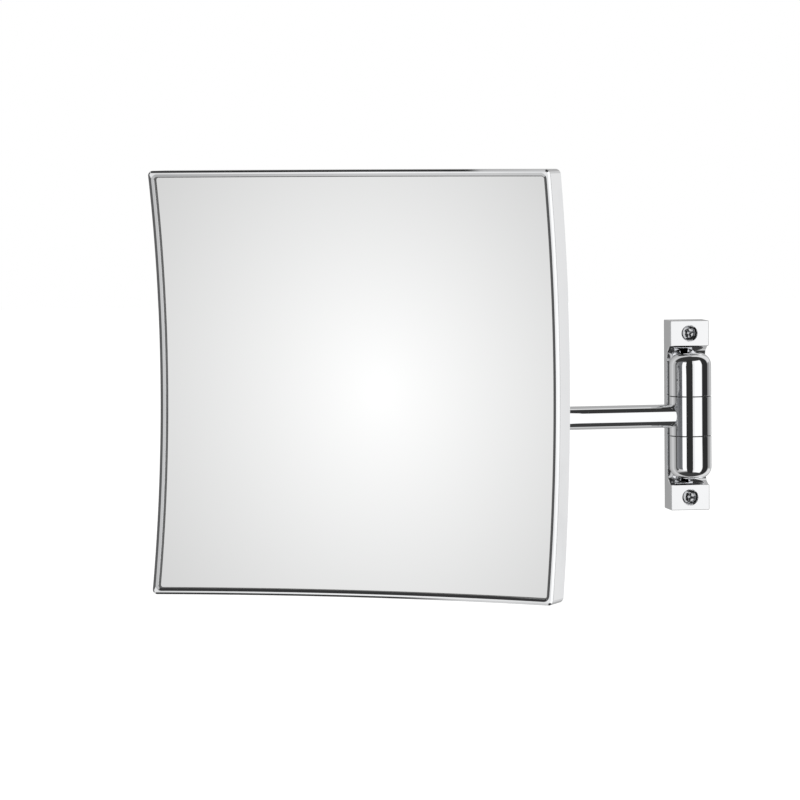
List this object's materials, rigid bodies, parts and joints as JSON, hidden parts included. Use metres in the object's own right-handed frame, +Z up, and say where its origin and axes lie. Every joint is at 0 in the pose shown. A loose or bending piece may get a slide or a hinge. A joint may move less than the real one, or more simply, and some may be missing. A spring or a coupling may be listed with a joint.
{
  "type": "wall mounted magnifying mirror",
  "caption": "Square concave magnifying mirror in a thin chrome frame, on a round arm that swings from a barrel hinge in a C-shaped wall bracket.",
  "frame": {"origin": "middle of the wall bracket's back face, on the wall", "axes": "+Y into the wall, +Z up, +X to the right of someone facing the wall"},
  "size_m": [0.2735, 0.1653, 0.2],
  "materials": {
    "chrome_plate": "polished",
    "plated_fastener": "polished",
    "plain_steel": "turned",
    "bearing_plastic": "moulded",
    "seal_rubber": "matte",
    "silvered_glass": "silvered",
    "soft_foam": "closed cell foam",
    "board": "moulded",
    "satin_back": "satin"
  },
  "bodies": {
    "wall_mount": {"wall_bracket": "chrome_plate", "wall_screws": "plated_fastener", "upper_knuckle": "chrome_plate", "lower_knuckle": "chrome_plate", "knuckle_screws": "plain_steel", "hinge_pin": "plain_steel", "hinge_springs": "plain_steel"},
    "arm": {"arm_knuckle": "chrome_plate", "hinge_bushes": "bearing_plastic", "arm_rod": "chrome_plate", "elbow_knuckle": "chrome_plate", "swivel_bolt": "plain_steel", "swivel_washer": "plain_steel", "swivel_spring": "plain_steel"},
    "swivel": {"swivel_knuckle": "chrome_plate", "swivel_bush": "bearing_plastic", "swivel_cap": "chrome_plate", "tilt_bush": "bearing_plastic"},
    "mirror_head": {"hinge_plate": "chrome_plate", "plate_screws": "plated_fastener", "tilt_bolt": "plated_fastener", "tilt_nut": "plated_fastener", "tilt_spring": "plain_steel", "tilt_washers": "bearing_plastic", "front_frame": "chrome_plate", "glass_seal": "seal_rubber", "mirror_glass": "silvered_glass", "foam_pad": "soft_foam", "backing_board": "board", "corner_gussets": "plain_steel", "back_shell": "satin_back", "back_screws": "plated_fastener"}
  },
  "joints": [
    {"name": "arm_swing", "type": "hinge", "parent": "wall_mount", "child": "arm", "pos_m": [0, -0.0171, 0], "axis": [0, 0, 1], "range_deg": [-4, 172]},
    {"name": "head_swivel", "type": "hinge", "parent": "arm", "child": "swivel", "pos_m": [-0.14415, -0.02718, 0], "axis": [0, 0, 1], "range_deg": [-155, 40]},
    {"name": "head_tilt", "type": "hinge", "parent": "swivel", "child": "mirror_head", "pos_m": [-0.15306, -0.04339, 0.0211], "axis": [0.8763, -0.4818, 0], "range_deg": [-20, 20]}
  ]
}
